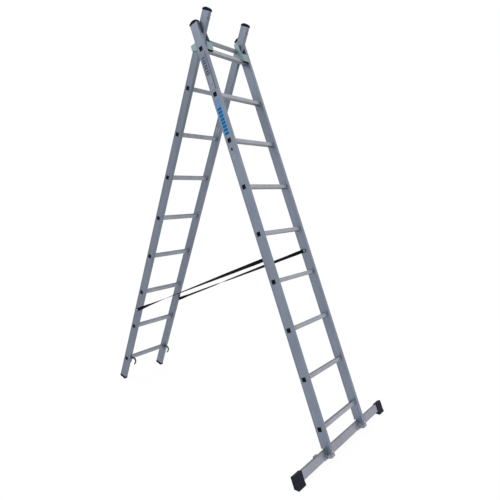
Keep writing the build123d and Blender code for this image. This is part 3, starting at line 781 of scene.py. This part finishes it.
@dataclass
class RearBoot:
    """A moulded boot round a rear stile's foot, with rounded edges and a grooved sole."""

    side: Side
    frame: SectionFrame
    material: bpy.types.Material
    proud: float = 0.0005
    height: float = 0.0175
    corner: float = 0.0035
    lip: float = 0.0006
    sole_edge: float = 0.0026
    sole_margin: float = 0.002
    grooves: int = 5
    groove_depth: float = 0.0012
    wall_tilt: float = 0.5
    wall_top: float = 0.004
    slack: float = 1.01

    def build(self) -> bpy.types.Object:
        """Builds the boot in place of the plain foot.

        Returns:
            The boot's object.
        """
        node = f"rear_foot_{self.side.word}"
        corners = [v.co for v in FRAME["nodes"][node].data.vertices]
        offs, heights = zip(*(self.frame.to_local(c) for c in corners))
        sides = [c.y for c in corners]
        width = max(offs) - min(offs)
        depth = max(sides) - min(sides)
        middle_y = (max(sides) + min(sides)) / 2
        shape = bmesh.new()
        size = (width + 2 * self.proud, depth + 2 * self.proud, self.height)
        block(shape, size, Vector((0, 0, self.height / 2)))
        rises = [(e, abs((e.verts[1].co - e.verts[0].co).z)) for e in shape.edges]
        round_edges(shape, [e for e, rise in rises if rise > self.height / 2], self.corner, 4)
        self.cut_sole(shape, width)
        for level, radius in ((self.height, self.lip), (0.0, self.sole_edge)):
            rim = [e for e in shape.edges if self.on_rim(e, level)]
            round_edges(shape, rim, radius, 3)
        place = self.frame.matrix((max(offs) + min(offs)) / 2, middle_y, min(heights))
        bmesh.ops.transform(shape, matrix=place, verts=shape.verts)
        piece = finish_mesh(f"rear_boot_{self.side.word}", shape, [self.material])
        soften(piece, 40.0)
        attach(piece, self.frame.body)
        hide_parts(node)
        LOG.info("built %s", piece.name)
        return piece

    def on_rim(self, edge: bmesh.types.BMEdge, level: float) -> bool:
        """Whether an edge bounds the flat end at a level.

        Args:
            edge: the edge.
            level: the end's height.

        Returns:
            True where the edge lies in the end and a wall starts from it.
        """
        if any(abs(v.co.z - level) > LEVEL for v in edge.verts):
            return False
        walls = [f for f in edge.link_faces if abs(f.normal.z) < self.wall_tilt]
        return any(max(v.co.z for v in f.verts) > self.wall_top for f in walls)

    def is_groove(self, face: bmesh.types.BMFace, pitch: float) -> bool:
        """Whether a face is one of the sole's strips that are sunk.

        Args:
            face: the face.
            pitch: the width of a strip.

        Returns:
            True for every other strip from the first cut to the last.
        """
        middle = face.calc_center_median()
        step = middle.x / pitch + self.grooves - 0.5
        across = max(v.co.x for v in face.verts) - min(v.co.x for v in face.verts)
        if middle.z >= LEVEL or across >= self.slack * pitch:
            return False
        return 0 < step < 2 * self.grooves - 1 and int(step) % 2 == 0

    def cut_sole(self, shape: bmesh.types.BMesh, width: float) -> None:
        """Cuts grooves across the sole, short of its edges.

        Args:
            shape: the boot's bmesh.
            width: the foot's size along the section's forward axis.
        """
        sole = min(shape.faces, key=lambda f: f.calc_center_median().z)
        border = self.sole_edge + self.sole_margin
        ring = bmesh.ops.inset_region(shape, faces=[sole], thickness=border)["faces"]
        pitch = (width - 4 * self.corner) / (2 * self.grooves - 1)
        for number in range(2 * self.grooves):
            x = (number - self.grooves + 0.5) * pitch
            flat = [f for f in shape.faces if abs(f.normal.z) > STRAIGHT and f not in ring]
            faces = [f for f in flat if f.calc_center_median().z < LEVEL]
            edges = {e for f in faces for e in f.edges}
            verts = {v for f in faces for v in f.verts}
            bmesh.ops.bisect_plane(
                shape,
                geom=list(verts) + list(edges) + faces,
                plane_co=(x, 0, 0),
                plane_no=(1, 0, 0),
            )
        strips = [f for f in shape.faces if self.is_groove(f, pitch) and f not in ring]
        sunk = bmesh.ops.extrude_discrete_faces(shape, faces=strips)["faces"]
        verts = {v for f in sunk for v in f.verts}
        bmesh.ops.translate(shape, vec=(0, 0, self.groove_depth), verts=list(verts))


@dataclass
class MouldedParts:
    """Caps, feet, shoes, plugs and pads in black polymer."""

    front: SectionFrame
    rear: SectionFrame
    tone: Colour = (0.003, 0.004, 0.008)
    scuffed: Colour = (0.009, 0.010, 0.016)
    shoe_tone: Colour = (0.012, 0.013, 0.023)
    shoe_scuffed: Colour = (0.024, 0.025, 0.038)
    shoe_radius: float = 0.003
    pad_radius: float = 0.001
    plain_nodes: tuple[str, ...] = (
        "front_cap_left",
        "front_cap_right",
        "rear_cap_left",
        "rear_cap_right",
        "tongue_plug_left",
        "tongue_plug_right",
    )

    def build(self) -> None:
        """Dresses, rounds or adds every moulded part."""
        polymer = MouldedPolymer("black moulding", self.tone, self.scuffed).build()
        rubber = MouldedPolymer("grey black rubber", self.shoe_tone, self.shoe_scuffed).build()
        for node in self.plain_nodes:
            dress(node, polymer)
        for side in Side:
            RearBoot(side, self.rear, polymer).build()
            shoe, pad = f"bar_shoe_{side.word}", f"bracket_pad_{side.word}"
            RoundedPart(shoe, self.shoe_radius, rubber, Slot.RUBBER).build()
            RoundedPart(pad, self.pad_radius, polymer, Slot.RUBBER).build()
            RungPlugs("front", side, self.front, polymer).build()
            RungPlugs("rear", side, self.rear, polymer).build()


@dataclass
class Fittings:
    """Brackets, hooks, bolts, rivets, stop pegs and the bar."""

    front: SectionFrame
    bar_half: float = 0.025
    # strength of the painted shade on the bar's top and underside
    bar_ledge: float = 0.6
    bar_bracket_radius: float = 0.0008
    top_bracket_radius: float = 0.0012
    hook_radius: float = 0.0006
    bracket_tone: Colour = (0.24, 0.335, 0.355)
    zinc_tone: Colour = (0.45, 0.46, 0.48)
    hook_tone: Colour = (0.07, 0.078, 0.078)
    bar_tone: Colour = (0.295, 0.304, 0.354)
    black_tone: Colour = (0.02, 0.02, 0.024)
    clip_tone: Colour = (0.25, 0.26, 0.28)
    clip_scuffed: Colour = (0.3, 0.31, 0.33)
    zinc_nodes: tuple[str, ...] = (
        "bar_bolts",
        "bar_bracket_rivets",
        "bracket_rivets",
        "hook_rivets",
        "strap_bolts_front",
        "strap_bolts_rear",
        "strap_washers_front",
        "strap_washers_rear",
    )

    def build(self) -> None:
        """Dresses or rounds the fittings."""
        low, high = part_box("stabiliser_bar")
        bar = ExtrudedAluminium(
            "bar extrusion",
            self.bar_tone,
            -self.front.lean,
            across=True,
            ledge=self.bar_ledge,
            middle=((low + high) / 2).dot(self.front.up),
            half=self.bar_half,
        ).build()
        dress("stabiliser_bar", bar)
        coated = PlatedMetal(
            "pale green coating", self.bracket_tone, metallic=0.65, roughness=0.42
        ).build()
        zinc = PlatedMetal("bright zinc", self.zinc_tone, metallic=0.9, roughness=0.32).build()
        hook = PlatedMetal(
            "dark hook steel", self.hook_tone, metallic=0.5, roughness=0.42
        ).build()
        black = PlatedMetal(
            "blackened steel", self.black_tone, metallic=0.5, roughness=0.4
        ).build()
        clip = MouldedPolymer("grey clip", self.clip_tone, self.clip_scuffed).build()
        for side in Side:
            for node, radius, metal, slot, segments in (
                (f"bar_bracket_{side.word}", self.bar_bracket_radius, bar, Slot.BAR, 2),
                (f"top_bracket_{side.word}", self.top_bracket_radius, coated, Slot.BRACKET, 3),
                (f"hook_{side.word}", self.hook_radius, hook, Slot.BRACKET, 2),
            ):
                RoundedPart(node, radius, metal, slot, segments).build()
        for node in self.zinc_nodes:
            dress(node, zinc)
        dress("stop_pegs", clip)
        dress("bar_bracket_screws", black)
        dress("bar_clip", clip)


@dataclass
class SpreaderStrap:
    """One webbing strap that half twists on its way from the rear section to the front one.

    turns lists how far it has turned, in quarter turns, at shares of the way along. smoothing
    is the share over which the turn is evened out, to each side, at so many spots.
    """

    side: Side
    turns: Turns
    material: bpy.types.Material
    width: float = 0.022
    thickness: float = 0.0016
    steps: int = 240
    lanes: int = 6
    smoothing: float = 0.03
    spots: int = 4

    def quarter_turns(self, share: float) -> float:
        """Quarter turns made at a place, in straight steps between the listed ones.

        Args:
            share: the share of the way along.

        Returns:
            The quarter turns.
        """
        for (before, low), (after, high) in zip(self.turns, self.turns[1:]):
            if share < after:
                part = max(0.0, (share - before) / (after - before))
                return low + (high - low) * part
        return self.turns[-1][1]

    def twist(self, share: float) -> float:
        """Turn of the strap about its own length, evened out round a place.

        Args:
            share: the share of the way along.

        Returns:
            The turn in radians.
        """
        steps = range(-self.spots, self.spots + 1)
        near = [self.quarter_turns(share + self.smoothing * step / self.spots) for step in steps]
        return math.pi / 2 * sum(near) / len(near)

    def build(self) -> bpy.types.Object:
        """Builds the strap in place.

        Returns:
            The strap's object.
        """
        node = f"strap_{self.side.word}"
        low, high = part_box(node)
        lift = self.width / 2
        start = Vector((low.x + lift, (low.y + high.y) / 2, low.z + lift))
        end = Vector((high.x - lift, start.y, high.z - lift))
        reach = end - start
        axis = reach.normalized()
        total = reach.length + self.width
        shape = bmesh.new()
        bmesh.ops.create_grid(shape, x_segments=self.steps, y_segments=self.lanes, size=0.5)
        bmesh.ops.scale(shape, vec=(total, self.width, 1.0), verts=shape.verts)
        layer = shape.loops.layers.uv.new("strap")
        for face in shape.faces:
            for loop in face.loops:
                loop[layer].uv = (loop.vert.co.x, loop.vert.co.y)
        self.round_ends(shape, total)
        rows: dict[int, list[bmesh.types.BMVert]] = {}
        for vert in shape.verts:
            rows.setdefault(round((vert.co.x / total + 0.5) * self.steps), []).append(vert)
        for row, verts in rows.items():
            turn = Matrix.Rotation(self.twist(row / self.steps), 3, "X")
            bmesh.ops.rotate(shape, cent=(0, 0, 0), matrix=turn, verts=verts)
        side_axis = Vector((0, 1, 0))
        across = axis.cross(side_axis).normalized()
        basis = Matrix((axis, across, side_axis)).transposed().to_4x4()
        place = Matrix.Translation((start + end) / 2) @ basis
        bmesh.ops.transform(shape, matrix=place, verts=shape.verts)
        bmesh.ops.recalc_face_normals(shape, faces=shape.faces)
        bmesh.ops.solidify(shape, geom=shape.faces[:], thickness=self.thickness)
        middle = sum((v.co for v in shape.verts), Vector()) / len(shape.verts)
        bmesh.ops.translate(shape, vec=(0, start.y - middle.y, 0), verts=shape.verts)
        strap = finish_mesh(f"webbing_{self.side.word}", shape, [self.material])
        soften(strap, 60.0)
        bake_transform(strap)
        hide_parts(node)
        LOG.info("built %s, %.3f m long", strap.name, total)
        return strap

    def round_ends(self, shape: bmesh.types.BMesh, total: float) -> None:
        """Draws in the corners at both ends to a half round.

        Args:
            shape: the strap's flat bmesh.
            total: its whole length.
        """
        radius = self.width / 2
        for vert in shape.verts:
            past = abs(vert.co.x) - (total / 2 - radius)
            if past > 0:
                room = math.sqrt(max(0.0, radius**2 - past**2))
                vert.co.y *= room / radius


# Both straps start flat, turn quickly, hold a slack half turn and lie flat again at the end.
NEAR_TURNS: Turns = (
    (0.05, 0.0),
    (0.1, 0.5),
    (0.2, 0.79),
    (0.3, 1.02),
    (0.42, 1.12),
    (0.62, 1.34),
    (0.72, 1.52),
    (0.86, 1.61),
    (0.93, 2.0),
)
FAR_TURNS: Turns = (
    (0.05, 0.0),
    (0.09, 0.5),
    (0.36, 0.74),
    (0.45, 1.17),
    (0.62, 1.34),
    (0.75, 1.52),
    (0.9, 1.56),
    (0.96, 2.0),
)


# ---------------------------------------------------------------- stickers
@dataclass(frozen=True)
class Patch:
    """A rectangle of film on a stile's face: its middle and size along and across the stile."""

    off: float
    s: float
    wide: float
    tall: float
    film: str
    layer: int = 0


@dataclass
class Sticker:
    """A bare sticker made of plain patches of film on one face of a stile."""

    name: str
    frame: SectionFrame
    face_y: float
    outward: float
    patches: list[Patch]
    films: dict[str, bpy.types.Material]
    thickness: float = 0.00025
    layer_gain: float = 0.2
    corner_share: float = 0.12

    def build(self) -> bpy.types.Object:
        """Builds the sticker's patches as one thin piece.

        Returns:
            The sticker's object.
        """
        used = sorted({patch.film for patch in self.patches})
        shape = bmesh.new()
        for patch in self.patches:
            rise = self.outward * self.thickness * (0.5 + patch.layer)
            thick = self.thickness * (1.0 + self.layer_gain * patch.layer)
            made = block(shape, (patch.wide, thick, patch.tall), Vector((0, 0, 0)))
            corners = {e for v in made for e in v.link_edges if is_across(e)}
            faces = {f for v in made for f in v.link_faces}
            for face in faces:
                face.material_index = used.index(patch.film)
            radius = min(patch.wide, patch.tall) * self.corner_share
            grown = round_edges(shape, list(corners), radius, 4)
            verts = {v for f in faces | set(grown) if f.is_valid for v in f.verts}
            place = self.frame.matrix(patch.off, self.face_y + rise, patch.s)
            bmesh.ops.transform(shape, matrix=place, verts=list(verts))
        piece = finish_mesh(self.name, shape, [self.films[film] for film in used])
        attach(piece, self.frame.body)
        LOG.info("built %s", self.name)
        return piece


@dataclass
class Stickers:
    """The stickers on the near front stile and on the far rear stile."""

    front: SectionFrame
    rear: SectionFrame
    near_face: float
    far_face: float
    films: dict[str, bpy.types.Material] = field(default_factory=dict)
    dash_rows: int = 7
    dash_pitch: float = 0.016
    bars: int = 8
    bar_pitch: float = 0.0212
    bar_gap: float = 0.004

    def make_films(self) -> None:
        """Makes the colours of film."""
        for key, tone in (
            ("silver", (0.185, 0.21, 0.26)),
            ("bright", (0.25, 0.275, 0.335)),
            ("ink", (0.014, 0.016, 0.034)),
            ("blue", (0.008, 0.10, 0.27)),
            ("sky", (0.15, 0.38, 0.60)),
            ("lilac", (0.155, 0.245, 0.42)),
            ("grey", (0.25, 0.27, 0.32)),
        ):
            self.films[key] = PrintedFilm(f"{key} film", tone).build()

    def build(self) -> None:
        """Builds every sticker."""
        self.make_films()
        self.data_plate()
        self.blue_field()
        self.small_marks()

    def add(self, name: str, frame: SectionFrame, face: float, patches: list[Patch]) -> None:
        """Builds one sticker on a face that looks to the left."""
        Sticker(name, frame, face, float(Side.LEFT.value), patches, self.films).build()

    def data_plate(self) -> None:
        """Builds the silver plate: pale bars, rows of dashes, a bare panel and a dark rule."""
        patches = [Patch(0.001, 2.100, 0.040, 0.236, "silver")]
        patches.append(Patch(0.0185, 2.100, 0.0028, 0.232, "ink", 1))
        for s in (2.213, 2.204):
            patches.append(Patch(-0.001, s, 0.030, 0.0035, "bright", 1))
        for row in range(self.dash_rows):
            s = 2.184 - self.dash_pitch * row
            for off, wide in ((-0.0125, 0.007), (-0.0045, 0.0055), (0.0035, 0.006)):
                patches.append(Patch(off, s - 0.0015 * (row % 2), wide, 0.0075, "ink", 1))
        patches.append(Patch(-0.001, 2.031, 0.030, 0.084, "bright", 1))
        patches.append(Patch(0.001, 2.018, 0.004, 0.006, "ink", 2))
        self.add("data_sticker", self.front, self.near_face, patches)

    def blue_field(self) -> None:
        """Builds the long sticker: a lilac block over plain dark blue bars on light blue."""
        patches = [
            Patch(-0.002, 1.908, 0.037, 0.046, "lilac"),
            Patch(-0.002, 1.797, 0.037, 0.174, "sky"),
        ]
        for bar in range(self.bars):
            s = 1.871 - self.bar_pitch * bar
            patches.append(Patch(-0.002, s, 0.030, self.bar_pitch - self.bar_gap, "blue", 1))
        self.add("blue_sticker", self.front, self.near_face, patches)

    def small_marks(self) -> None:
        """Builds two small pale stickers under the blue one, and one on the rear section."""
        marks = [
            Patch(-0.004, 1.63, 0.028, 0.034, "grey"),
            Patch(-0.004, 1.586, 0.028, 0.044, "bright"),
            Patch(-0.002, 1.627, 0.012, 0.018, "ink", 1),
            Patch(-0.002, 1.601, 0.016, 0.005, "silver", 1),
        ]
        self.add("small_stickers", self.front, self.near_face, marks)
        rear_mark = Patch(0.0, 1.733, 0.034, 0.043, "bright")
        self.add("rear_sticker", self.rear, self.far_face, [rear_mark])


# ---------------------------------------------------------------- studio
@dataclass(frozen=True)
class Softbox:
    """A square soft light: its place and side in metres, and its power in watts."""

    name: str
    place: tuple[float, float, float]
    size: float
    power: float


@dataclass
class Studio:
    """Pale floor, plain lights and the camera.

    The room lights what is matt: overhead and behind give its strength from the horizon up and
    from the front to the back, over the spans of the direction's Z and Y.
    """

    anchor: Vector
    camera_offset: Vector = field(default_factory=lambda: Vector((1.14507, -2.455947, 1.341518)))
    heading: float = 2.20636875
    tilt: float = -0.17955363
    roll: float = 0.0215534
    lens: float = 35.4337
    shift: tuple[float, float] = (0.00248, 0.03353)
    sensor: float = 36.0
    lamps: tuple[Softbox, ...] = (
        Softbox("key", (1.0, 4.5, 6.0), 5.0, 8.0),
        Softbox("fill", (-2.7, -3.1, 5.2), 2.5, 55.0),
    )
    aim: tuple[float, float, float] = (0.0, 0.0, 1.1)
    white: tuple[float, float, float, float] = (1.0, 1.0, 1.0, 1.0)
    room_tint: tuple[float, float, float, float] = (0.97, 0.98, 1.0, 1.0)
    overhead: tuple[float, float] = (0.17, 1.35)
    overhead_span: tuple[float, float] = (0.0, 0.7)
    rise: float = 1.9
    behind: tuple[float, float] = (0.0, 0.3)
    behind_span: tuple[float, float] = (-0.3, 0.9)
    floor_radius: float = 40.0
    floor_grey: float = 0.9
    floor_white: tuple[float, float] = (0.93, 1.0)
    floor_span: tuple[float, float] = (1.3, 3.6)

    def build(self) -> None:
        """Builds the studio round the ladder."""
        self.floor()
        self.world()
        for softbox in self.lamps:
            self.lamp(softbox)
        self.camera()

    @staticmethod
    def sees_white(tree: bpy.types.ShaderNodeTree) -> bpy.types.NodeSocket:
        """Finds the rays that show the white background, in plain sight, metal and glass.

        Args:
            tree: the node tree.

        Returns:
            A socket that is 1 for those rays and 0 for others.
        """
        path = add_node(tree, "ShaderNodeLightPath")
        seen = path.outputs["Is Camera Ray"]
        for ray in ("Is Glossy Ray", "Is Transmission Ray"):
            either = add_node(tree, "ShaderNodeMath", operation="MAXIMUM")
            tree.links.new(seen, either.inputs[0])
            tree.links.new(path.outputs[ray], either.inputs[1])
            seen = either.outputs["Value"]
        return seen

    def floor(self) -> None:
        """Builds a wide pale floor that keeps the ladder's shadow and is white far away."""
        shape = bmesh.new()
        bmesh.ops.create_circle(shape, cap_ends=True, segments=96, radius=self.floor_radius)
        material, tree, shader = new_material("floor")
        shader.inputs["Base Color"].default_value = (*(self.floor_grey,) * 3, 1.0)
        shader.inputs["Roughness"].default_value = 0.9
        glow = add_node(tree, "ShaderNodeEmission", Strength=1.0)
        glow.inputs["Color"].default_value = self.white
        share = add_node(tree, "ShaderNodeMath", operation="MULTIPLY")
        mix = add_node(tree, "ShaderNodeMixShader")
        tree.links.new(self.sees_white(tree), share.inputs[0])
        place = add_node(tree, "ShaderNodeTexCoord")
        far = add_node(tree, "ShaderNodeVectorMath", operation="LENGTH")
        tree.links.new(place.outputs["Object"], far.inputs[0])
        whiter = remap(tree, far.outputs["Value"], *self.floor_white, *self.floor_span)
        tree.links.new(whiter, share.inputs[1])
        tree.links.new(share.outputs["Value"], mix.inputs["Fac"])
        tree.links.new(shader.outputs["BSDF"], mix.inputs[1])
        tree.links.new(glow.outputs["Emission"], mix.inputs[2])
        tree.links.new(mix.outputs["Shader"], tree.nodes["Material Output"].inputs["Surface"])
        floor = finish_mesh("floor", shape, [material])

    def world(self) -> None:
        """Shows white where it is seen, and lights the rest as a room, lighter overhead."""
        world = bpy.data.worlds.new("studio")
        bpy.context.scene.world = world
        world.use_nodes = True
        tree = world.node_tree
        plain = tree.nodes["Background"]
        plain.inputs["Color"].default_value = self.room_tint
        direction = add_node(tree, "ShaderNodeTexCoord")
        parts = add_node(tree, "ShaderNodeSeparateXYZ")
        tree.links.new(direction.outputs["Generated"], parts.inputs["Vector"])
        height = remap(tree, parts.outputs["Z"], 0.0, 1.0, *self.overhead_span)
        rise = add_node(tree, "ShaderNodeMath", operation="POWER")
        rise.inputs[1].default_value = self.rise
        tree.links.new(height, rise.inputs[0])
        overhead = remap(tree, rise.outputs["Value"], *self.overhead, 0.0, 1.0)
        behind = remap(tree, parts.outputs["Y"], *self.behind, *self.behind_span)
        level = add_node(tree, "ShaderNodeMath", operation="ADD")
        tree.links.new(overhead, level.inputs[0])
        tree.links.new(behind, level.inputs[1])
        tree.links.new(level.outputs["Value"], plain.inputs["Strength"])
        seen = add_node(tree, "ShaderNodeBackground", Strength=1.0)
        seen.inputs["Color"].default_value = self.white
        mix = add_node(tree, "ShaderNodeMixShader")
        tree.links.new(self.sees_white(tree), mix.inputs["Fac"])
        tree.links.new(plain.outputs["Background"], mix.inputs[1])
        tree.links.new(seen.outputs["Background"], mix.inputs[2])
        tree.links.new(mix.outputs["Shader"], tree.nodes["World Output"].inputs["Surface"])

    def lamp(self, softbox: Softbox) -> None:
        """Adds a soft light that faces the ladder's middle.

        Args:
            softbox: the light's place, size and power.
        """
        data = bpy.data.lights.new(softbox.name, "AREA")
        data.size = softbox.size
        data.energy = softbox.power
        lamp = bpy.data.objects.new(softbox.name, data)
        lamp.location = softbox.place
        lamp.rotation_mode = "QUATERNION"
        towards = Vector(self.aim) - Vector(softbox.place)
        lamp.rotation_quaternion = towards.to_track_quat("-Z", "Y")
        lamp.visible_camera = False
        bpy.context.scene.collection.objects.link(lamp)

    def camera(self) -> None:
        """Adds the camera at the viewing angle."""
        ahead = Vector(
            (
                math.cos(self.heading) * math.cos(self.tilt),
                math.sin(self.heading) * math.cos(self.tilt),
                math.sin(self.tilt),
            )
        )
        level = Vector((math.sin(self.heading), -math.cos(self.heading), 0.0))
        upward = level.cross(ahead)
        right = math.cos(self.roll) * level + math.sin(self.roll) * upward
        top = -math.sin(self.roll) * level + math.cos(self.roll) * upward
        data = bpy.data.cameras.new("camera")
        data.lens = self.lens
        data.sensor_width = self.sensor
        data.shift_x, data.shift_y = self.shift
        camera = bpy.data.objects.new("camera", data)
        turn = Matrix((right, top, -ahead)).transposed().to_4x4()
        camera.matrix_world = Matrix.Translation(self.anchor + self.camera_offset) @ turn
        bpy.context.scene.collection.objects.link(camera)
        bpy.context.scene.camera = camera


def main() -> None:
    """Builds the sub-assemblies in order."""
    front = SectionFrame.from_nodes("front", FRONT)
    rear = SectionFrame.from_nodes("rear", REAR)
    Section(
        "front",
        front,
        stile_tone=(0.206, 0.238, 0.3),
        rung_tone=(0.366, 0.382, 0.422),
        rung_shade=0.42,
    ).build()
    # The rear section is the same aluminium as the front, in darker tones: painted shade.
    Section(
        "rear",
        rear,
        stile_tone=(0.173, 0.197, 0.248),
        rung_tone=(0.298, 0.318, 0.364),
        rung_shade=0.1,
    ).build()
    MouldedParts(front, rear).build()
    Fittings(front).build()
    webbing = WovenWebbing(
        "black webbing", tone=(0.001, 0.001, 0.002), thread=(0.007, 0.007, 0.009)
    ).build()
    SpreaderStrap(Side.LEFT, NEAR_TURNS, webbing).build()
    SpreaderStrap(Side.RIGHT, FAR_TURNS, webbing).build()
    Stickers(
        front,
        rear,
        near_face=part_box("front_stile_left")[0].y + STILE_RELIEF,
        far_face=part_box("rear_stile_right")[0].y + STILE_RELIEF,
    ).build()
    Studio(front.foot).build()
    bpy.context.scene.view_settings.view_transform = "Standard"


if __name__ == "__main__":
    logging.basicConfig(level=logging.INFO, format="%(message)s")
    main()
